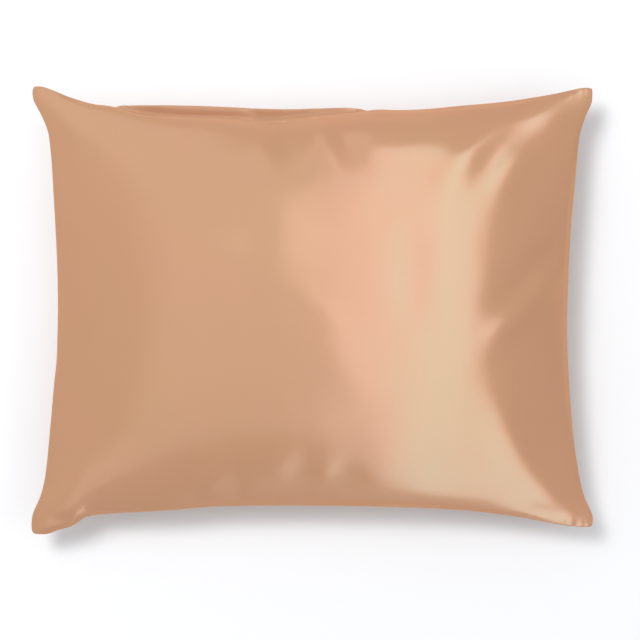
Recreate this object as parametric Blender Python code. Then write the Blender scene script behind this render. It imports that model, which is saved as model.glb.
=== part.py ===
"""A satin pillowcase closed over its filled pillow, lying on its back.

Two panels are sewn together round the edge. The filling crowns them, draws the four sides in
between the corners and leaves the corners as soft ears. The body is one filled solid: a front
grid and a back grid with the same rows and columns, joined all round by the turned seam.
Frame: metres, +Z up, X along the long side, origin on the floor under the middle of the pillow.
"""

import math
from collections import namedtuple

import bmesh
import bpy

MM = 0.001

# Driving sizes, in metres
WIDTH = 645 * MM  # ear tip to ear tip along X
HEIGHT = 515 * MM  # ear tip to ear tip along Y
CROWN_TOP = 150 * MM  # the top of the crown above the floor, before its soft folds
SEAM_HEIGHT = 62 * MM  # the seam above the floor, at the middle of a side
EAR_DROOP = 14 * MM  # how much lower the seam lies at the ear tips
DROOP_POWER = 3  # higher keeps the droop closer to the ear tips
SEAM_THICKNESS = 2 * MM  # the turned seam, four layers of satin
EAR_RADIUS = 6 * MM  # rounding of an ear tip, seen from above

# How the filling shapes the panels
CROWN_POWER = 2.3  # of the front: higher is flatter in the middle and fuller at the sides
CROWN_ROUNDING = 0.9  # of the front: lower is steeper next to the seam
BACK_POWER, BACK_ROUNDING = 2.7, 0.72  # the same for the back
CONTACT_GAIN = 1.3  # how far the back panel spreads flat on the floor
CONTACT_BEND = 1.6  # how sharply it turns up from the floor
COLUMNS, ROWS = 54, 44  # cells of each panel
EDGE_CROWDING = 0.6  # 0 is an even grid, higher crowds the rows towards the seam

# Each side's pull-in from the box of the ear tips: place along the side, depth, in mm
Pull = namedtuple("Pull", "place depth")
LEFT_SIDE = [
    Pull(-258, 0), Pull(-236, 1.5), Pull(-213, 11.3), Pull(-190, 17.2), Pull(-135, 23.5), Pull(-83, 28.3),
    Pull(-55, 31.3), Pull(30, 32.4), Pull(139, 26.9), Pull(200, 21.1), Pull(221, 13.3), Pull(242, 2.4),
    Pull(258, 0.8),
]
RIGHT_SIDE = [
    Pull(-258, 0), Pull(-244, 0.3), Pull(-221, 10.2), Pull(-197, 16.5), Pull(-142, 24.8), Pull(-52, 31),
    Pull(2, 31.2), Pull(85, 27.5), Pull(140, 22.6), Pull(200, 16), Pull(223, 8.8), Pull(239, 1.6),
    Pull(258, 0),
]
BOTTOM_SIDE = [
    Pull(-323, 0), Pull(-305, 0.2), Pull(-290, 5.5), Pull(-275, 10), Pull(-259, 20.4), Pull(-242, 23.5),
    Pull(-164, 28), Pull(-105, 32.8), Pull(60, 33.2), Pull(164, 29.4), Pull(229, 21.8), Pull(291, 10.3),
    Pull(323, 7.5),
]
TOP_SIDE = [
    Pull(-323, 0), Pull(-309, 1.2), Pull(-275, 14.6), Pull(-247, 22.4), Pull(-219, 23.4), Pull(-189, 24.8),
    Pull(-128, 26.5), Pull(-83, 28.9), Pull(-64, 29.7), Pull(-25, 29.9), Pull(8, 28.3), Pull(48, 27.2),
    Pull(95, 29.4), Pull(128, 28.3), Pull(164, 24.8), Pull(219, 19.4), Pull(274, 10.4), Pull(309, 2.6),
    Pull(323, 1.5),
]

# Along the left of the top side the seam is rolled over to the front, and the back panel stands
# out behind it: place along the side, depth of the roll, in mm
SEAM_ROLL = [
    Pull(-323, 0), Pull(-240, 0), Pull(-228, 1.8), Pull(-218, 5), Pull(-201, 9.2), Pull(-189, 10.7),
    Pull(-157, 11.7), Pull(-83, 11.7), Pull(-64, 13.3), Pull(-45, 11.9), Pull(-25, 10.1), Pull(8, 7.8),
    Pull(48, 5.6), Pull(62, 3), Pull(76, 0), Pull(323, 0),
]
ROLL_SPREAD = 8  # higher keeps the roll's pull on the front panel closer to the seam
ROLL_LIFT = 0.5  # rise of the rolled seam, as a share of its depth
LIFT_REACH = 0.2  # share of the half height over which the panels rise to it
# The back panel behind the roll
ROLL_LEAST = 6 * MM  # a shallower roll still shapes the panel as widely as one of this depth
ROLL_OUT = 1.2  # cloth between the seam and the panel's outermost line, as a share of the roll's depth
ROLL_BACK = 4.0  # cloth over which the panel then comes back to its place, as a share of the last
ROLL_DIP = 1.2  # drop of the panel right behind the seam, as a share of the roll's depth
ROLL_CREST = 0.3  # the same at its outermost line
ROLL_VALLEY = 0.3  # where the panel is lowest, as a share of the cloth up to its outermost line

# Soft folds of the front panel. Each is a ridge, or a trough where height is below 0, along a bent
# line from start through bend to end. All in mm, seen from above
Fold = namedtuple("Fold", "start bend end width height")
FOLDS = [
    # crests that run in from the four ears, and the hollows beside them
    Fold(start=(300, 240), bend=(220, 205), end=(195, 90), width=22, height=4),
    Fold(start=(265, 210), bend=(205, 190), end=(165, 110), width=18, height=-3),
    Fold(start=(235, 230), bend=(180, 190), end=(130, 110), width=18, height=3),
    Fold(start=(305, -230), bend=(230, -200), end=(195, -60), width=25, height=5),
    Fold(start=(-305, -250), bend=(-265, -210), end=(-190, -150), width=30, height=6),
    Fold(start=(-305, 245), bend=(-260, 215), end=(-180, 160), width=28, height=3),
    # puckers along the top seam
    Fold(start=(-35, 230), bend=(-30, 195), end=(-15, 150), width=18, height=-5),
    Fold(start=(-10, 230), bend=(10, 205), end=(20, 160), width=16, height=4),
    Fold(start=(25, 225), bend=(35, 195), end=(50, 150), width=16, height=-3),
    Fold(start=(-10, 205), bend=(100, 195), end=(220, 215), width=36, height=7),
    # puckers along the bottom seam
    Fold(start=(-15, -225), bend=(-12, -195), end=(-5, -150), width=18, height=-2),
    Fold(start=(40, -225), bend=(38, -200), end=(40, -160), width=16, height=-2),
    Fold(start=(30, -225), bend=(110, -220), end=(220, -230), width=25, height=4),
    # folds of the right-hand side
    Fold(start=(200, 210), bend=(200, 0), end=(200, -210), width=85, height=11),
    Fold(start=(285, 85), bend=(235, 20), end=(195, -20), width=18, height=-4),
    Fold(start=(275, 45), bend=(225, -5), end=(185, -45), width=16, height=5),
    # broad swells and hollows of the crown
    Fold(start=(-60, 140), bend=(-62, 70), end=(-60, -10), width=60, height=9),
    Fold(start=(100, -220), bend=(100, -150), end=(95, -90), width=45, height=2),
    Fold(start=(-5, 5), bend=(40, -50), end=(90, -110), width=30, height=2),
]
FOLD_FADE = 7 * MM  # folds die out over this distance from the seam
FOLD_STEPS = 16  # swells along a fold's line
FOLD_START = 0.2  # share of its height that a fold has at its start
FOLD_SWELL, FOLD_END = 0.2, 0.45  # shares of a fold's length over which it swells and dies away


def smooth_step(share):
    """0 to 1 with level ends."""
    share = min(1.0, max(0.0, share))
    return share * share * (3 - 2 * share)


def read_side(table, place):
    """The depth at a place along a side, in metres, on a smooth curve through the table's rows."""
    place = min(table[-1].place, max(table[0].place, place / MM))
    last = len(table) - 1
    i = next(k for k in range(last) if place <= table[k + 1].place)

    def slope(k):
        low, high = table[max(k - 1, 0)], table[min(k + 1, last)]
        return (high.depth - low.depth) / (high.place - low.place)

    a, b = table[i], table[i + 1]
    span = b.place - a.place
    t = (place - a.place) / span
    depth = a.depth + (b.depth - a.depth) * smooth_step(t)
    depth += span * t * (1 - t) * ((1 - t) * slope(i) - t * slope(i + 1))
    return max(0.0, depth) * MM


def round_ear(x, y):
    """Pulls the sharp corners of the outline in to round ear tips."""
    for side_x in (-1, 1):
        for side_y in (-1, 1):
            bottom_right = (side_x, side_y) == (1, -1)
            short = read_side(BOTTOM_SIDE, WIDTH / 2) if bottom_right else 0.0
            centre_x = side_x * (WIDTH / 2 - EAR_RADIUS)
            centre_y = side_y * (HEIGHT / 2 - short - EAR_RADIUS)
            dx, dy = (x - centre_x) * side_x, (y - centre_y) * side_y
            if dx > 0 and dy > 0:
                scale = max(dx, dy) / math.hypot(dx, dy)
                return centre_x + side_x * dx * scale, centre_y + side_y * dy * scale
    return x, y


def plan_point(u, v):
    """A cloth point (u and v from -1 to 1) seen from above, before the top seam is rolled in."""
    along_x, along_y = u * WIDTH / 2, v * HEIGHT / 2
    left = -WIDTH / 2 + read_side(LEFT_SIDE, along_y)
    right = WIDTH / 2 - read_side(RIGHT_SIDE, along_y)
    bottom = -HEIGHT / 2 + read_side(BOTTOM_SIDE, along_x)
    top = HEIGHT / 2 - read_side(TOP_SIDE, along_x)
    x = left + (right - left) * (u + 1) / 2
    y = bottom + (top - bottom) * (v + 1) / 2
    return round_ear(x, y)


def roll_depth(u):
    """How far the top seam is rolled to the front."""
    return read_side(SEAM_ROLL, u * WIDTH / 2)


def behind_roll(roll, cloth):
    """How far the back panel's points stand out behind a rolled seam, this much cloth away from it."""
    reach = ROLL_OUT * max(roll, ROLL_LEAST)
    bulge = reach * smooth_step(2 * roll / ROLL_LEAST)
    bulge *= 1 - smooth_step((cloth - reach) / (reach * ROLL_BACK))
    return smooth_step(cloth / reach) * (roll + bulge) - roll


def dip_behind_roll(roll, cloth):
    """How far the back panel drops behind a rolled seam: a valley at the seam, less at its outermost line."""
    t = cloth / (ROLL_OUT * max(roll, ROLL_LEAST))
    rise = smooth_step((t - ROLL_VALLEY) / (1 - ROLL_VALLEY))
    return roll * (ROLL_DIP * smooth_step(t / ROLL_VALLEY) * (1 - rise) + ROLL_CREST * rise)


def crown(u, v, power, rounding):
    """The filling's push on a panel: 1 in the middle, 0 at the seam."""
    across = max(0.0, 1 - abs(u) ** power) ** rounding
    along = max(0.0, 1 - abs(v) ** power) ** rounding
    return across * along


def seam_height(u, v):
    """Height of the seam's level above the floor: lower at the ears, a little higher where it is rolled."""
    droop = EAR_DROOP * abs(u * v) ** DROOP_POWER
    lift = ROLL_LIFT * roll_depth(u) * smooth_step(1 - (1 - v) / LIFT_REACH)
    return SEAM_HEIGHT - droop + lift


def fold_swells(fold):
    """The chain of soft swells that make up a fold: the place of each, in mm, and its share."""
    line = []
    for step in range(FOLD_STEPS + 1):
        t = step / FOLD_STEPS
        weights = ((1 - t) ** 2, 2 * t * (1 - t), t * t)
        knots = (fold.start, fold.bend, fold.end)
        line.append(tuple(sum(w * knot[axis] for w, knot in zip(weights, knots)) for axis in (0, 1)))
    swells = []
    for step, ((ax, ay), (bx, by)) in enumerate(zip(line, line[1:])):
        t = (step + 0.5) / FOLD_STEPS
        ends = FOLD_START + (1 - FOLD_START) * smooth_step(t / FOLD_SWELL)
        ends *= smooth_step((1 - t) / FOLD_END)
        share = ends * math.hypot(bx - ax, by - ay) / (fold.width * math.sqrt(math.pi))
        swells.append(((ax + bx) / 2, (ay + by) / 2, share))
    return swells


FOLD_SWELLS = [(fold, fold_swells(fold)) for fold in FOLDS]


def fold_height(fold, swells, x, y):
    """Rise of one fold above the plain crown at a place seen from above."""
    rise = 0.0
    for middle_x, middle_y, share in swells:
        distance = math.hypot(x / MM - middle_x, y / MM - middle_y)
        rise += share * math.exp(-((distance / fold.width) ** 2))
    return fold.height * MM * rise


def front_point(u, v):
    """A point of the front panel."""
    x, y = plan_point(u, v)
    y -= roll_depth(u) * ((v + 1) / 2) ** ROLL_SPREAD
    from_seam = min((1 - abs(u)) * WIDTH, (1 - abs(v)) * HEIGHT) / 2
    base = seam_height(u, v) + SEAM_THICKNESS / 2
    rise = CROWN_TOP - SEAM_HEIGHT - SEAM_THICKNESS / 2
    z = base + rise * crown(u, v, CROWN_POWER, CROWN_ROUNDING)
    z += smooth_step(from_seam / FOLD_FADE) * sum(fold_height(*pair, x, y) for pair in FOLD_SWELLS)
    return x, y, z


def back_point(u, v):
    """A point of the back panel, which lies flat on the floor in the middle."""
    x, y = plan_point(u, v)
    cloth = (1 - v) * HEIGHT / 2
    roll = roll_depth(u)
    y += behind_roll(roll, cloth)
    push = crown(u, v + min(cloth, roll) / (HEIGHT / 2), BACK_POWER, BACK_ROUNDING)
    press = min(1.0, CONTACT_GAIN * push)
    edge = seam_height(u, v) - SEAM_THICKNESS / 2 - dip_behind_roll(roll, cloth)
    z = edge * (1 - press) ** CONTACT_BEND
    return x, y, z


def cloth_share(grid_share):
    """Turns an even grid share from -1 to 1 into a cloth share that crowds towards the seam."""
    return grid_share + EDGE_CROWDING * math.sin(math.pi * grid_share) / math.pi


def add_panel(mesh, place_point):
    """One panel as a grid, its points placed by place_point. Returns its edges that lie on the seam."""
    made = bmesh.ops.create_grid(mesh, x_segments=COLUMNS, y_segments=ROWS, size=1.0)
    for vertex in made["verts"]:
        vertex.co = place_point(cloth_share(vertex.co.x), cloth_share(vertex.co.y))
    edges = {edge for vertex in made["verts"] for edge in vertex.link_edges}
    return [edge for edge in edges if edge.is_boundary]


def make_satin():
    """Rose-gold polyester satin."""
    material = bpy.data.materials.new("rose_gold_satin")
    material.use_nodes = True
    shader = material.node_tree.nodes["Principled BSDF"]
    shader.inputs["Base Color"].default_value = (0.60, 0.34, 0.20, 1)
    shader.inputs["Roughness"].default_value = 0.38
    shader.inputs["Metallic"].default_value = 0.0
    return material


def make_pillowcase():
    """The filled pillowcase as one closed mesh."""
    mesh = bmesh.new()
    seam = add_panel(mesh, front_point) + add_panel(mesh, back_point)
    bmesh.ops.bridge_loops(mesh, edges=seam)
    bmesh.ops.recalc_face_normals(mesh, faces=mesh.faces)
    data = bpy.data.meshes.new("pillowcase")
    mesh.to_mesh(data)
    mesh.free()
    data.shade_smooth()
    data.materials.append(make_satin())
    return bpy.data.objects.new("pillowcase", data)


def main():
    for old in list(bpy.data.objects):
        bpy.data.objects.remove(old)
    parts = bpy.data.collections.new("satin_pillowcase")
    bpy.context.scene.collection.children.link(parts)
    parts.objects.link(make_pillowcase())


main()
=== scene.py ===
"""A rose-gold satin pillowcase closed over its filled pillow, lying on its back.

The case is modelled as its two panels, sewn together round the edge, on the shape of the solid
that stands for it. The filling's pressure then settles the cloth in a short simulation.
Lengths are in metres. The tables give places on the pillow, seen from above, in millimetres.
"""

import math
from collections import namedtuple

import bmesh
import bpy
import numpy as np
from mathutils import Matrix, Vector, noise


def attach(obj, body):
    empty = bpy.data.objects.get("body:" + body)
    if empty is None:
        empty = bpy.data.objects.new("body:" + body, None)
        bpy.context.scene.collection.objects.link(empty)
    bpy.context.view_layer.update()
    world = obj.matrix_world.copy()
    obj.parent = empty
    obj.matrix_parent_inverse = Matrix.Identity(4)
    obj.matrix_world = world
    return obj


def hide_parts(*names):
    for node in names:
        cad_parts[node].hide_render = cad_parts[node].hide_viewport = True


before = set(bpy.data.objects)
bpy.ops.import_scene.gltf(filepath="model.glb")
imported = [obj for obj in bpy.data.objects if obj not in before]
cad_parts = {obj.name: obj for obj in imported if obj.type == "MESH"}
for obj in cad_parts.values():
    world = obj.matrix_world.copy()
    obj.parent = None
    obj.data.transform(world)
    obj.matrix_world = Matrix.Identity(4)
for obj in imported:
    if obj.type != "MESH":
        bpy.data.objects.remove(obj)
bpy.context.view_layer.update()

MM = 0.001

# The pillow's sizes, the same as the solid's
WIDTH = 645 * MM  # ear tip to ear tip along X
HEIGHT = 515 * MM  # ear tip to ear tip along Y
CROWN_TOP = 150 * MM  # the top of the crown above the floor, before its soft folds
SEAM_HEIGHT = 62 * MM  # the seam above the floor, at the middle of a side
EAR_DROOP = 14 * MM  # how much lower the seam lies at the ear tips
DROOP_POWER = 3  # higher keeps the droop closer to the ear tips
SEAM_THICKNESS = 2 * MM  # the turned seam, four layers of satin
EAR_RADIUS = 6 * MM  # rounding of an ear tip, seen from above

# How the filling shapes the panels
CROWN_POWER = 2.3  # of the front: higher is flatter in the middle and fuller at the sides
CROWN_ROUNDING = 0.9  # of the front: lower is steeper next to the seam
BACK_POWER, BACK_ROUNDING = 2.7, 0.72  # the same for the back
CONTACT_GAIN = 1.3  # how far the back panel spreads flat on the floor
CONTACT_BEND = 1.6  # how sharply it turns up from the floor
COLUMNS, ROWS = 120, 96  # cells of each panel
EDGE_CROWDING = 0.6  # 0 is an even grid, higher crowds the rows towards the seam

# Each side's pull-in from the box of the ear tips: place along the side, depth, in mm
Pull = namedtuple("Pull", "place depth")
LEFT_SIDE = [
    Pull(-258, 0), Pull(-236, 1.5), Pull(-213, 11.3), Pull(-190, 17.2), Pull(-135, 23.5), Pull(-83, 28.3),
    Pull(-55, 31.3), Pull(30, 32.4), Pull(139, 26.9), Pull(200, 21.1), Pull(221, 13.3), Pull(242, 2.4),
    Pull(258, 0.8),
]
RIGHT_SIDE = [
    Pull(-258, 0), Pull(-244, 0.3), Pull(-221, 10.2), Pull(-197, 16.5), Pull(-142, 24.8), Pull(-52, 31),
    Pull(2, 31.2), Pull(85, 27.5), Pull(140, 22.6), Pull(200, 16), Pull(223, 8.8), Pull(239, 1.6),
    Pull(258, 0),
]
BOTTOM_SIDE = [
    Pull(-323, 0), Pull(-305, 0.2), Pull(-290, 5.5), Pull(-275, 10), Pull(-259, 20.4), Pull(-242, 23.5),
    Pull(-164, 28), Pull(-105, 32.8), Pull(60, 33.2), Pull(164, 29.4), Pull(229, 21.8), Pull(291, 10.3),
    Pull(323, 7.5),
]
TOP_SIDE = [
    Pull(-323, 0), Pull(-309, 1.2), Pull(-275, 14.6), Pull(-247, 22.4), Pull(-219, 23.4), Pull(-189, 24.8),
    Pull(-128, 26.5), Pull(-83, 28.9), Pull(-64, 29.7), Pull(-25, 29.9), Pull(8, 28.3), Pull(48, 27.2),
    Pull(95, 29.4), Pull(128, 28.3), Pull(164, 24.8), Pull(219, 19.4), Pull(274, 10.4), Pull(309, 2.6),
    Pull(323, 1.5),
]

# Along the left of the top side the seam is rolled over to the front, and the back panel stands
# out behind it: place along the side, depth of the roll, in mm
SEAM_ROLL = [
    Pull(-323, 0), Pull(-240, 0), Pull(-228, 1.8), Pull(-218, 5), Pull(-201, 9.2), Pull(-189, 10.7),
    Pull(-157, 11.7), Pull(-83, 11.7), Pull(-64, 13.3), Pull(-45, 11.9), Pull(-25, 10.1), Pull(8, 7.8),
    Pull(48, 5.6), Pull(62, 3), Pull(76, 0), Pull(323, 0),
]
ROLL_SPREAD = 8  # higher keeps the roll's pull on the front panel closer to the seam
ROLL_LIFT = 0.5  # rise of the rolled seam, as a share of its depth
LIFT_REACH = 0.2  # share of the half height over which the panels rise to it
# The back panel behind the roll
ROLL_LEAST = 6 * MM  # a shallower roll still shapes the panel as widely as one of this depth
ROLL_OUT = 1.2  # cloth between the seam and the panel's outermost line, as a share of the roll's depth
ROLL_BACK = 4.0  # cloth over which the panel then comes back to its place, as a share of the last
ROLL_DIP = 1.2  # drop of the panel right behind the seam, as a share of the roll's depth
ROLL_CREST = 0.3  # the same at its outermost line
ROLL_VALLEY = 0.3  # where the panel is lowest, as a share of the cloth up to its outermost line

# Soft folds of the front panel. Each is a ridge, or a trough where height is below
# 0, along a curve that leaves start towards bend and comes from there to end. All in mm, from above
Fold = namedtuple("Fold", "start bend end width height")
FOLDS = [
    # crests that run in from the four ears, and the hollows beside them
    Fold(start=(300, 240), bend=(220, 205), end=(195, 90), width=22, height=4),
    Fold(start=(265, 210), bend=(205, 190), end=(165, 110), width=18, height=-3),
    Fold(start=(235, 230), bend=(180, 190), end=(130, 110), width=18, height=3),
    Fold(start=(305, -230), bend=(230, -200), end=(195, -60), width=25, height=5),
    Fold(start=(290, -238), bend=(270, -230), end=(240, -220), width=8, height=-1.5),
    Fold(start=(-305, -250), bend=(-265, -210), end=(-190, -150), width=30, height=6),
    Fold(start=(-300, -238), bend=(-285, -240), end=(-260, -238), width=7, height=-1.5),
    Fold(start=(-305, 245), bend=(-260, 215), end=(-180, 160), width=28, height=3),
    # puckers along the top seam
    Fold(start=(-65, 225), bend=(-60, 195), end=(-45, 145), width=10, height=1.5),
    Fold(start=(-35, 230), bend=(-30, 195), end=(-15, 150), width=18, height=-5),
    Fold(start=(-10, 230), bend=(10, 205), end=(20, 160), width=16, height=4),
    Fold(start=(25, 225), bend=(35, 195), end=(50, 150), width=16, height=-3),
    Fold(start=(-10, 205), bend=(100, 195), end=(220, 215), width=36, height=7),
    # puckers along the bottom seam
    Fold(start=(-112, -225), bend=(-110, -200), end=(-100, -160), width=14, height=1.5),
    Fold(start=(-90, -225), bend=(-88, -205), end=(-80, -170), width=14, height=-1.5),
    Fold(start=(-45, -230), bend=(-40, -210), end=(-30, -180), width=12, height=1),
    Fold(start=(-15, -225), bend=(-12, -195), end=(-5, -150), width=18, height=-2),
    Fold(start=(5, -230), bend=(10, -205), end=(20, -170), width=12, height=1),
    Fold(start=(40, -225), bend=(38, -200), end=(40, -160), width=16, height=-2),
    Fold(start=(30, -225), bend=(110, -220), end=(220, -230), width=25, height=4),
    # folds of the right-hand side
    Fold(start=(200, 210), bend=(200, 0), end=(200, -210), width=85, height=11),
    Fold(start=(285, 85), bend=(235, 20), end=(195, -20), width=18, height=-4),
    Fold(start=(275, 45), bend=(225, -5), end=(185, -45), width=16, height=5),
    # broad swells and hollows of the crown
    Fold(start=(-60, 140), bend=(-62, 70), end=(-60, -10), width=60, height=9),
    Fold(start=(100, -220), bend=(100, -150), end=(95, -90), width=45, height=2),
    Fold(start=(112, 100), bend=(105, 30), end=(112, -40), width=22, height=-1.5),
    Fold(start=(-10, 0), bend=(35, -55), end=(85, -115), width=30, height=1.5),
    Fold(start=(-25, 25), bend=(15, 5), end=(45, -35), width=12, height=0.5),
]
FOLD_FADE = 7 * MM  # folds die out over this distance from the seam
FOLD_STEPS = 16  # swells along a fold's line
FOLD_START = 0.2  # share of its height that a fold has at its start
FOLD_SWELL, FOLD_END = 0.2, 0.45  # shares of a fold's length over which it swells and dies away

# The cloth simulation
SETTLE_FRAMES = 20
SETTLE_PRESSURE = 4.0
SETTLE_CAP = 6 * MM  # the furthest that a point may settle
NO_MOVE = 1e-9  # keeps a held point's move from being divided by nothing

# The satin's slight unevenness
Dent = namedtuple("Dent", "size depth")  # mm
DENTS = [Dent(48, 0.15), Dent(22, 0.06)]
DENT_FADE = 20 * MM  # dents die out over this distance from the seam
GATHER_PITCH = 6 * MM  # of the small gathers along the seam
GATHER_DEPTH = 0.3 * MM
GATHER_REACH = 9 * MM  # the cloth over which they die out
GATHER_START = 2 * MM  # the cloth next to the seam over which they set in
GATHER_ROW = 7.0  # the row of the noise that they are read from

# The satin
PINK_SATIN = (0.509, 0.268, 0.160, 1)
GOLD_SATIN = (0.496, 0.273, 0.152, 1)
GLOSS_TINT = (1.0, 1.0, 0.86, 1)
SHEEN_TINT = (1.0, 0.62, 0.42, 1)
ROUGHNESS = 0.18  # in the middle of its range
PATCH_SIZE = (160 * MM, 200 * MM)  # of patches that lean to pink or to gold
STREAK_SIZE = (1.1 * MM, 120 * MM)  # of streaks, yarns that took a little more or less dye
STREAK_SHADE = 0.99  # how dark the darkest streaks are
GLOSS_SIZE = (50 * MM, 70 * MM)  # of smoother and rougher patches
GLOSS_RANGE, STREAK_RANGE = 0.10, 0.02  # range of roughness over those patches, and over the streaks
RAMP_LOW, RAMP_HIGH = 0.3, 0.7  # the middle of a noise, over which two tones blend
YARN_PITCH = 0.32 * MM
FLOAT_LENGTH = 1.6 * MM  # of a yarn on the face, before it goes under one crossing yarn
FLOAT_STEP = 0.4  # how much further up the next yarn's floats start, as a share of a float
YARN_SLOPE = 0.035  # slope of a yarn's sides
FLOAT_SLOPE = 0.03  # slope of a float's ends
FLOAT_POWER = 3.0  # higher keeps that slope closer to the ends
PAINTED_GAP_SHADE = 0.12  # painted shade between two yarns: how much darker the satin is painted there
GAP_SHADE_POWER = 4.0  # higher makes the painted shade between two yarns narrower

# The photograph's view: straight down, a little off the pillow's middle
SIGHT_X, SIGHT_Y = 9.1 * MM, -11.4 * MM
VIEW_WIDTH = 0.7296  # width of the view at the seam's height
LENS, SENSOR = 85.0, 36.0

# Lamps that light the cloth and the floor, and don't show in the gloss. Places and sizes in metres
Lamp = namedtuple("Lamp", "name place target size radiance floor_only")
LAMPS = [
    Lamp("key", (-0.95, 0.95, 2.4), (0, 0, SEAM_HEIGHT), 0.8, 14.5, False),
    Lamp("floor_key", (-1.5, 1.5, 4.0), (0, 0, 0), 1.7, 7.4, True),
    Lamp("fill", (1.9, -0.1, 1.9), (0, 0, SEAM_HEIGHT), 1.2, 1.4, False),
]
WORLD_COLOUR, WORLD_STRENGTH = (0.98, 0.98, 1.0, 1), 0.87
FLOOR_COLOUR = (0.683, 0.691, 0.70, 1)

# Softboxes that show only in the gloss. Their edges are angles off the vertical, in degrees, as the
# pillow's middle sees them
Softbox = namedtuple("Softbox", "name left right near far radiance colour")
SOFTBOXES = [
    Softbox("overhead", -48, 5, -55, 78, 1.0, (1.0, 0.98, 0.96)),
    Softbox("near_softbox", 5, 18, -75, 60, 5.5, (1.0, 0.70, 0.71)),
    Softbox("middle_softbox", 18, 40, -75, 60, 6.0, (0.74, 1.0, 0.92)),
    Softbox("far_softbox", 40, 46, -75, 60, 5.5, (1.0, 0.68, 0.68)),
]
SOFTBOX_RISE = 1.2  # their height over the crown
# The front softbox stands low beside the pillow, and the glow is what the floor gives back
FRONT_PLACE, FRONT_WIDTH, FRONT_DEPTH = (0.3, -1.5, 0.24), 1.1, 0.42
FRONT_RADIANCE, FRONT_COLOUR = 0.8, (1.0, 0.78, 0.72)
GLOW_SIZE, GLOW_RADIANCE, GLOW_COLOUR = 3.0, 0.9, (1.0, 0.5, 0.25)


# ---------------------------------------------------------------- shape of the filled case


def smooth_step(share):
    """0 to 1 with level ends."""
    share = np.clip(share, 0.0, 1.0)
    return share * share * (3 - 2 * share)


def read_side(table, place):
    """The depths at places along a side, in metres, on a smooth curve through the table's rows."""
    places = np.array([row.place for row in table]) * MM
    depths = np.array([row.depth for row in table]) * MM
    after = np.minimum(np.arange(len(table)) + 1, len(table) - 1)
    before = np.maximum(np.arange(len(table)) - 1, 0)
    slopes = (depths[after] - depths[before]) / (places[after] - places[before])
    place = np.clip(place, places[0], places[-1])
    i = np.clip(np.searchsorted(places, place, side="right") - 1, 0, len(table) - 2)
    span = places[i + 1] - places[i]
    t = (place - places[i]) / span
    depth = depths[i] + (depths[i + 1] - depths[i]) * smooth_step(t)
    depth += span * t * (1 - t) * ((1 - t) * slopes[i] - t * slopes[i + 1])
    return np.maximum(0.0, depth)


def round_ears(x, y):
    """Pulls the sharp corners of the outline in to round ear tips."""
    x, y = x.copy(), y.copy()
    for side_x in (-1, 1):
        for side_y in (-1, 1):
            bottom_right = (side_x, side_y) == (1, -1)
            short = BOTTOM_SIDE[-1].depth * MM if bottom_right else 0.0
            centre_x = side_x * (WIDTH / 2 - EAR_RADIUS)
            centre_y = side_y * (HEIGHT / 2 - short - EAR_RADIUS)
            dx, dy = (x - centre_x) * side_x, (y - centre_y) * side_y
            outer = (dx > 0) & (dy > 0)
            scale = np.maximum(dx, dy) / np.where(outer, np.hypot(dx, dy), 1.0)
            x[outer] = (centre_x + side_x * dx * scale)[outer]
            y[outer] = (centre_y + side_y * dy * scale)[outer]
    return x, y


def plan_points(u, v):
    """Cloth points (u and v from -1 to 1) seen from above, before the top seam is rolled in."""
    along_x, along_y = u * WIDTH / 2, v * HEIGHT / 2
    left = -WIDTH / 2 + read_side(LEFT_SIDE, along_y)
    right = WIDTH / 2 - read_side(RIGHT_SIDE, along_y)
    bottom = -HEIGHT / 2 + read_side(BOTTOM_SIDE, along_x)
    top = HEIGHT / 2 - read_side(TOP_SIDE, along_x)
    x = left + (right - left) * (u + 1) / 2
    y = bottom + (top - bottom) * (v + 1) / 2
    return round_ears(x, y)


def roll_depth(u):
    """How far the top seam is rolled to the front."""
    return read_side(SEAM_ROLL, u * WIDTH / 2)


def behind_roll(roll, cloth):
    """How far the back panel's points stand out behind a rolled seam, this much cloth away from it."""
    reach = ROLL_OUT * np.maximum(roll, ROLL_LEAST)
    bulge = reach * smooth_step(2 * roll / ROLL_LEAST)
    bulge = bulge * (1 - smooth_step((cloth - reach) / (reach * ROLL_BACK)))
    return smooth_step(cloth / reach) * (roll + bulge) - roll


def dip_behind_roll(roll, cloth):
    """How far the back panel drops behind a rolled seam: a valley at the seam, less at its outermost line."""
    t = cloth / (ROLL_OUT * np.maximum(roll, ROLL_LEAST))
    rise = smooth_step((t - ROLL_VALLEY) / (1 - ROLL_VALLEY))
    return roll * (ROLL_DIP * smooth_step(t / ROLL_VALLEY) * (1 - rise) + ROLL_CREST * rise)


def crown(u, v, power, rounding):
    """The filling's push on a panel: 1 in the middle, 0 at the seam."""
    across = np.maximum(0.0, 1 - np.abs(u) ** power) ** rounding
    along = np.maximum(0.0, 1 - np.abs(v) ** power) ** rounding
    return across * along


def seam_height(u, v):
    """Height of the seam's level above the floor: lower at the ears, a little higher where it is rolled."""
    droop = EAR_DROOP * np.abs(u * v) ** DROOP_POWER
    lift = ROLL_LIFT * roll_depth(u) * smooth_step(1 - (1 - v) / LIFT_REACH)
    return SEAM_HEIGHT - droop + lift


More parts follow.
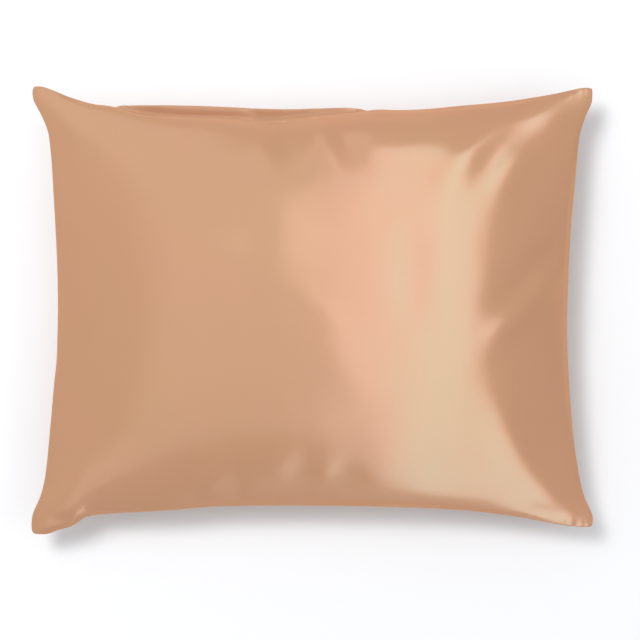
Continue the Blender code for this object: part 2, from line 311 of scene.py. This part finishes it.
def fold_height(fold, x, y):
    """Rise of one fold above the plain crown at places seen from above: a chain of soft swells."""
    t = np.linspace(0.0, 1.0, FOLD_STEPS + 1)
    start, bend, end = (np.array(knot) * MM for knot in (fold.start, fold.bend, fold.end))
    line = np.outer((1 - t) ** 2, start) + np.outer(2 * t * (1 - t), bend) + np.outer(t * t, end)
    runs = np.linalg.norm(np.diff(line, axis=0), axis=1)
    middles, t = (line[1:] + line[:-1]) / 2, (t[1:] + t[:-1]) / 2
    ends = FOLD_START + (1 - FOLD_START) * smooth_step(t / FOLD_SWELL)
    shares = ends * smooth_step((1 - t) / FOLD_END) * runs / (fold.width * MM * math.sqrt(math.pi))
    rise = np.zeros(x.shape)
    for share, (middle_x, middle_y) in zip(shares, middles):
        rise += share * np.exp(-((x - middle_x) ** 2 + (y - middle_y) ** 2) / (fold.width * MM) ** 2)
    return fold.height * MM * rise


def from_seam(u, v):
    """How much cloth lies between a point of a panel and the nearest seam."""
    return np.minimum((1 - np.abs(u)) * WIDTH, (1 - np.abs(v)) * HEIGHT) / 2


def front_points(u, v):
    """Points of the front panel, before its folds."""
    x, y = plan_points(u, v)
    y = y - roll_depth(u) * ((v + 1) / 2) ** ROLL_SPREAD
    base = seam_height(u, v) + SEAM_THICKNESS / 2
    rise = CROWN_TOP - SEAM_HEIGHT - SEAM_THICKNESS / 2
    return x, y, base + rise * crown(u, v, CROWN_POWER, CROWN_ROUNDING)


def back_points(u, v):
    """Points of the back panel, which lies flat on the floor in the middle."""
    x, y = plan_points(u, v)
    cloth = (1 - v) * HEIGHT / 2
    roll = roll_depth(u)
    y = y + behind_roll(roll, cloth)
    dip = dip_behind_roll(roll, cloth)
    push = crown(u, v + np.minimum(cloth, roll) / (HEIGHT / 2), BACK_POWER, BACK_ROUNDING)
    press = np.minimum(1.0, CONTACT_GAIN * push)
    z = (seam_height(u, v) - SEAM_THICKNESS / 2 - dip) * (1 - press) ** CONTACT_BEND
    return x, y, z


# ---------------------------------------------------------------- the case as a mesh


def cloth_share(grid_share):
    """Turns even grid shares from -1 to 1 into cloth shares that crowd towards the seam."""
    return grid_share + EDGE_CROWDING * np.sin(math.pi * grid_share) / math.pi


def run_of_cloth(places, axis):
    """Cloth lengths along the grid's rows (axis 1) or columns (axis 0), counted from the panel's middle."""
    steps = np.linalg.norm(np.diff(places, axis=axis), axis=2)
    runs = np.cumsum(steps, axis=axis)
    runs = np.insert(runs, 0, 0.0, axis=axis)
    return runs - runs.take([runs.shape[axis] // 2], axis=axis)


def add_panel(mesh, cloth_map, shares_kept, place_points):
    """One panel as a grid, with its cloth lengths as UVs. Returns its edges that lie on the seam."""
    made = bmesh.ops.create_grid(mesh, x_segments=COLUMNS, y_segments=ROWS, size=1.0)["verts"]
    shares = cloth_share(np.array([vertex.co for vertex in made])[:, :2])
    places = np.column_stack(place_points(shares[:, 0], shares[:, 1]))
    grid = places.reshape(ROWS + 1, COLUMNS + 1, 3)
    across, along = run_of_cloth(grid, 1).ravel(), run_of_cloth(grid, 0).ravel()
    front = 1.0 if place_points is front_points else -1.0
    for i, vertex in enumerate(made):
        vertex.co = places[i]
        vertex[shares_kept] = (shares[i, 0], shares[i, 1], front)
        for loop in vertex.link_loops:
            loop[cloth_map].uv = (across[i], along[i])
    edges = {edge for vertex in made for edge in vertex.link_edges}
    return [edge for edge in edges if edge.is_boundary]


def sew_case():
    """The two panels and the seam between them as one closed mesh."""
    mesh = bmesh.new()
    cloth_map = mesh.loops.layers.uv.new("weave")
    shares = mesh.verts.layers.float_vector.new("shares")
    seam = add_panel(mesh, cloth_map, shares, front_points)
    seam += add_panel(mesh, cloth_map, shares, back_points)
    band = bmesh.ops.bridge_loops(mesh, edges=seam)["faces"]
    for face in band:
        for loop in face.loops:
            beside = next(other for other in loop.vert.link_loops if other.face not in band)
            loop[cloth_map].uv = beside[cloth_map].uv
    bmesh.ops.recalc_face_normals(mesh, faces=mesh.faces)
    data = bpy.data.meshes.new("satin_case")
    mesh.to_mesh(data)
    mesh.free()
    data.shade_smooth()
    case = bpy.data.objects.new("satin_case", data)
    bpy.context.scene.collection.objects.link(case)
    return case


def read_vectors(mesh, name):
    """A named attribute of the mesh's points, or their places."""
    values = np.empty(3 * len(mesh.vertices), dtype=np.float32)
    mesh.attributes[name].data.foreach_get("vector", values)
    return values.reshape(-1, 3).astype(float)


def place_vertices(mesh, places):
    """Moves the mesh's points to these places."""
    mesh.attributes["position"].data.foreach_set("vector", places.astype(np.float32).ravel())
    mesh.update()


def settle(case):
    """Fills the case with pressure in a short cloth simulation, and keeps where its points come to.
    The seam is held, and so is the part of the back that lies flat on the floor."""
    before = read_vectors(case.data, "position")
    shares = read_vectors(case.data, "shares")
    on_seam = from_seam(shares[:, 0], shares[:, 1]) < MM
    on_floor = before[:, 2] < MM
    held = case.vertex_groups.new(name="held")
    held.add([int(i) for i in np.flatnonzero(on_seam | on_floor)], 1.0, "REPLACE")
    cloth = case.modifiers.new("filling", "CLOTH")
    cloth.settings.vertex_group_mass = "held"
    cloth.settings.use_pressure = True
    cloth.settings.uniform_pressure_force = SETTLE_PRESSURE
    cloth.settings.effector_weights.gravity = 0.0
    for step in range(1, SETTLE_FRAMES + 1):
        bpy.context.scene.frame_set(step)
    settled = case.evaluated_get(bpy.context.evaluated_depsgraph_get())
    moved = read_vectors(settled.data, "position") - before
    case.modifiers.remove(cloth)
    case.vertex_groups.remove(held)
    bpy.context.scene.frame_set(1)
    far = np.linalg.norm(moved, axis=1, keepdims=True)
    places = before + moved * np.minimum(1.0, SETTLE_CAP / np.maximum(far, NO_MOVE))
    places[:, 2] = np.maximum(places[:, 2], 0.0)
    place_vertices(case.data, places)


def press_folds(case):
    """Adds the soft folds to the front panel."""
    places = read_vectors(case.data, "position")
    u, v, side = read_vectors(case.data, "shares").T
    front = side > 0
    rise = sum(fold_height(fold, places[front, 0], places[front, 1]) for fold in FOLDS)
    places[front, 2] += smooth_step(from_seam(u, v)[front] / FOLD_FADE) * rise
    place_vertices(case.data, places)


def subdivide(case):
    """One subdivision, applied."""
    finer = case.modifiers.new("finer", "SUBSURF")
    finer.levels = finer.render_levels = 1
    coarse = case.data
    case.data = bpy.data.meshes.new_from_object(case.evaluated_get(bpy.context.evaluated_depsgraph_get()))
    case.modifiers.clear()
    bpy.data.meshes.remove(coarse)
    case.data.name = case.name
    case.data.shade_smooth()


def crumple(case):
    """The satin's slight unevenness: shallow dents in the cloth and small gathers along the seam."""
    mesh = case.data
    places = read_vectors(mesh, "position")
    u, v, side = read_vectors(mesh, "shares").T
    normals = np.empty(3 * len(mesh.vertices), dtype=np.float32)
    mesh.vertex_normals.foreach_get("vector", normals)
    normals = normals.reshape(-1, 3).astype(float)
    dents = np.zeros(len(places))
    for size, depth in DENTS:
        dents += depth * MM * np.array([noise.noise(Vector(place) / (size * MM)) for place in places])
    dents *= smooth_step(from_seam(u, v) / DENT_FADE)
    gathers = np.zeros(len(places))
    to_long_sides, to_short_sides = (1 - np.abs(v)) * HEIGHT / 2, (1 - np.abs(u)) * WIDTH / 2
    for cloth, run in ((to_long_sides, places[:, 0]), (to_short_sides, places[:, 1])):
        wave = np.array([noise.noise(Vector((place / GATHER_PITCH, GATHER_ROW, 0.0))) for place in run])
        fade = np.exp(-((cloth / GATHER_REACH) ** 2)) * smooth_step(cloth / GATHER_START)
        gathers += GATHER_DEPTH * wave * fade
    places += normals * (dents + gathers)[:, None]
    places[:, 2] = np.maximum(places[:, 2], 0.0)
    place_vertices(mesh, places)


# ---------------------------------------------------------------- satin


def node(tree, kind, **settings):
    """A shader node, with its settings and the values of its inputs, named with capitals, set."""
    made = tree.nodes.new(kind)
    for name, value in settings.items():
        if name[0].isupper():
            made.inputs[name.replace("_", " ")].default_value = value
        else:
            setattr(made, name, value)
    return made


def math_node(tree, operation, first, second=None):
    """A math node on links or numbers. Returns its output."""
    made = tree.nodes.new("ShaderNodeMath")
    made.operation = operation
    for socket, value in zip(made.inputs, (first, second)):
        if isinstance(value, bpy.types.NodeSocket):
            tree.links.new(value, socket)
        elif value is not None:
            socket.default_value = value
    return made.outputs[0]


def weave(tree, across, along):
    """The satin weave: long floats of the yarns that run up the panel, each next yarn's floats
    starting a share of a float further up. Returns where a place lies over its yarn and along its
    float, both from -1 to 1."""
    yarn = math_node(tree, "DIVIDE", across, YARN_PITCH)
    start = math_node(tree, "MULTIPLY", math_node(tree, "FLOOR", yarn), FLOAT_STEP)
    run = math_node(tree, "ADD", math_node(tree, "DIVIDE", along, FLOAT_LENGTH), start)
    return [
        math_node(tree, "SUBTRACT", math_node(tree, "MULTIPLY", math_node(tree, "FRACT", place), 2.0), 1.0)
        for place in (yarn, run)
    ]


def weave_normal(tree, over_yarn, along_float):
    """Normals of the weave: each yarn is round, and each float dips at its ends."""
    steep_ends = math_node(tree, "POWER", math_node(tree, "ABSOLUTE", along_float), FLOAT_POWER)
    dip = math_node(tree, "MULTIPLY", math_node(tree, "SIGN", along_float), steep_ends)
    tilt = tree.nodes.new("ShaderNodeCombineXYZ")
    tilt.inputs[2].default_value = 1.0
    for i, (place, slope) in enumerate(((over_yarn, YARN_SLOPE), (dip, FLOAT_SLOPE))):
        half = math_node(tree, "MULTIPLY", place, slope / 2)
        tree.links.new(math_node(tree, "ADD", half, 0.5), tilt.inputs[i])
    normal = node(tree, "ShaderNodeNormalMap", uv_map="weave")
    tree.links.new(tilt.outputs[0], normal.inputs["Color"])
    return normal.outputs[0]


def stretched_noise(tree, coordinates, size, **settings):
    """Noise on the cloth whose patches have this size across and along, in metres."""
    scale = tree.nodes.new("ShaderNodeVectorMath")
    scale.operation = "DIVIDE"
    scale.inputs[1].default_value = (*size, 1.0)
    tree.links.new(coordinates, scale.inputs[0])
    pattern = node(tree, "ShaderNodeTexNoise", noise_dimensions="2D", Scale=1.0, **settings)
    tree.links.new(scale.outputs[0], pattern.inputs["Vector"])
    return pattern.outputs[0]


def tint_range(tree, factor, low, high):
    """A colour ramp between two colours, spread over the middle of a noise."""
    ramp = tree.nodes.new("ShaderNodeValToRGB")
    for stop, place, colour in zip(ramp.color_ramp.elements, (RAMP_LOW, RAMP_HIGH), (low, high)):
        stop.position = place
        stop.color = colour
    tree.links.new(factor, ramp.inputs[0])
    return ramp.outputs[0]


def tint(tree, colour, factor):
    """A colour multiplied by another colour or by a grey."""
    mix = node(tree, "ShaderNodeMix", data_type="RGBA", blend_type="MULTIPLY")
    mix.inputs[0].default_value = 1.0
    tree.links.new(colour, mix.inputs[6])
    tree.links.new(factor, mix.inputs[7])
    return mix.outputs[2]


def satin():
    """Rose-gold polyester satin: long floats in the weave, faint streaks along them, a soft gloss."""
    material = bpy.data.materials.new("rose_gold_satin")
    material.use_nodes = True
    tree = material.node_tree
    shader = tree.nodes["Principled BSDF"]
    shader.inputs["Specular IOR Level"].default_value = 0.5
    shader.inputs["Specular Tint"].default_value = GLOSS_TINT
    shader.inputs["Sheen Weight"].default_value = 0.3
    shader.inputs["Sheen Roughness"].default_value = 0.4
    shader.inputs["Sheen Tint"].default_value = SHEEN_TINT
    cloth = node(tree, "ShaderNodeUVMap", uv_map="weave").outputs[0]
    runs = tree.nodes.new("ShaderNodeSeparateXYZ")
    tree.links.new(cloth, runs.inputs[0])
    over_yarn, along_float = weave(tree, runs.outputs[0], runs.outputs[1])

    # colour: patches that lean to pink or to gold, yarns that took a little more or less dye, and painted
    # shade in the gaps between yarns
    patches = stretched_noise(tree, cloth, PATCH_SIZE, Detail=2.0)
    streaks = stretched_noise(tree, cloth, STREAK_SIZE, Detail=1.0)
    base = tint_range(tree, patches, PINK_SATIN, GOLD_SATIN)
    dye = tint_range(tree, streaks, (STREAK_SHADE, STREAK_SHADE, STREAK_SHADE, 1), (1, 1, 1, 1))
    # painted shade: the satin's colour is darkened between two yarns, where the weave's hollows lie in shade
    gap_shade_mask = math_node(tree, "POWER", math_node(tree, "ABSOLUTE", over_yarn), GAP_SHADE_POWER)
    painted_gap_shade = math_node(tree, "SUBTRACT", 1.0, math_node(tree, "MULTIPLY", gap_shade_mask, PAINTED_GAP_SHADE))
    dyed = tint(tree, base, dye)
    tree.links.new(tint(tree, dyed, painted_gap_shade), shader.inputs["Base Color"])

    # gloss: smoother and rougher patches, and the same streaks
    gloss_patches = stretched_noise(tree, cloth, GLOSS_SIZE, Detail=3.0)
    gloss = math_node(tree, "MULTIPLY", gloss_patches, GLOSS_RANGE)
    streak_gloss = math_node(tree, "MULTIPLY", streaks, STREAK_RANGE)
    least = ROUGHNESS - (GLOSS_RANGE + STREAK_RANGE) / 2
    roughness = math_node(tree, "ADD", math_node(tree, "ADD", gloss, streak_gloss), least)
    tree.links.new(roughness, shader.inputs["Roughness"])

    tree.links.new(weave_normal(tree, over_yarn, along_float), shader.inputs["Normal"])
    return material


# ---------------------------------------------------------------- studio


def look_at(thing, target):
    """Turns a lamp or a camera to face a place."""
    thing.rotation_euler = (Vector(target) - thing.location).to_track_quat("-Z", "Y").to_euler()


def add_camera():
    """The photograph's camera, looking straight down."""
    data = bpy.data.cameras.new("camera")
    data.lens = LENS
    data.sensor_width = SENSOR
    camera = bpy.data.objects.new("camera", data)
    camera.location = (SIGHT_X, SIGHT_Y, SEAM_HEIGHT + VIEW_WIDTH * LENS / SENSOR)
    bpy.context.scene.collection.objects.link(camera)
    bpy.context.scene.camera = camera


def add_lamp(name, place, size_x, size_y, radiance, colour=(1.0, 1.0, 1.0)):
    """A rectangular lamp facing down. Its power follows from how bright its face is."""
    data = bpy.data.lights.new(name, "AREA")
    data.shape = "RECTANGLE"
    data.size = size_x
    data.size_y = size_y
    data.energy = radiance * math.pi * size_x * size_y
    data.color = colour
    lamp = bpy.data.objects.new(name, data)
    lamp.location = place
    lamp.visible_camera = False
    bpy.context.scene.collection.objects.link(lamp)
    return lamp


def add_softbox(softbox):
    """A softbox that shows only in the satin's gloss."""
    edges = (softbox.left, softbox.right, softbox.near, softbox.far)
    x0, x1, y0, y1 = (SOFTBOX_RISE * math.tan(math.radians(edge)) for edge in edges)
    place = ((x0 + x1) / 2, (y0 + y1) / 2, CROWN_TOP + SOFTBOX_RISE)
    lamp = add_lamp(softbox.name, place, x1 - x0, y1 - y0, softbox.radiance, softbox.colour)
    lamp.visible_diffuse = False


def add_floor():
    """A plain white floor, in a collection of its own for the lamp that lights only it."""
    mesh = bmesh.new()
    bmesh.ops.create_grid(mesh, x_segments=1, y_segments=1, size=4.0)
    data = bpy.data.meshes.new("floor")
    mesh.to_mesh(data)
    mesh.free()
    floor = bpy.data.objects.new("floor", data)
    collection = bpy.data.collections.new("floor")
    bpy.context.scene.collection.children.link(collection)
    collection.objects.link(floor)
    material = bpy.data.materials.new("white_floor")
    material.use_nodes = True
    shader = material.node_tree.nodes["Principled BSDF"]
    shader.inputs["Base Color"].default_value = FLOOR_COLOUR
    shader.inputs["Roughness"].default_value = 0.9
    shader.inputs["Specular IOR Level"].default_value = 0.1
    data.materials.append(material)
    floor.visible_glossy = False


def light_studio():
    """The world's light, the lamps, the softboxes and the floor's glow."""
    world = bpy.data.worlds.new("studio")
    bpy.context.scene.world = world
    world.use_nodes = True
    world.node_tree.nodes["Background"].inputs["Color"].default_value = WORLD_COLOUR
    world.node_tree.nodes["Background"].inputs["Strength"].default_value = WORLD_STRENGTH
    world.cycles_visibility.glossy = False
    for lamp in LAMPS:
        made = add_lamp(lamp.name, lamp.place, lamp.size, lamp.size, lamp.radiance)
        look_at(made, lamp.target)
        made.visible_glossy = False
        if lamp.floor_only:
            made.light_linking.receiver_collection = bpy.data.collections["floor"]
    for softbox in SOFTBOXES:
        add_softbox(softbox)
    glow = add_lamp("floor_glow", (0, 0, MM), GLOW_SIZE, GLOW_SIZE, GLOW_RADIANCE, GLOW_COLOUR)
    glow.rotation_euler = (math.pi, 0, 0)
    glow.visible_diffuse = False
    front = add_lamp("front_softbox", FRONT_PLACE, FRONT_WIDTH, FRONT_DEPTH, FRONT_RADIANCE, FRONT_COLOUR)
    look_at(front, (0, 0, SEAM_HEIGHT))
    front.visible_diffuse = False


# ---------------------------------------------------------------- the scene

bpy.context.scene.view_settings.view_transform = "Standard"
add_camera()
add_floor()
light_studio()
case = sew_case()
settle(case)
press_folds(case)
subdivide(case)
crumple(case)
case.data.materials.append(satin())
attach(case, "root")
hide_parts("pillowcase")
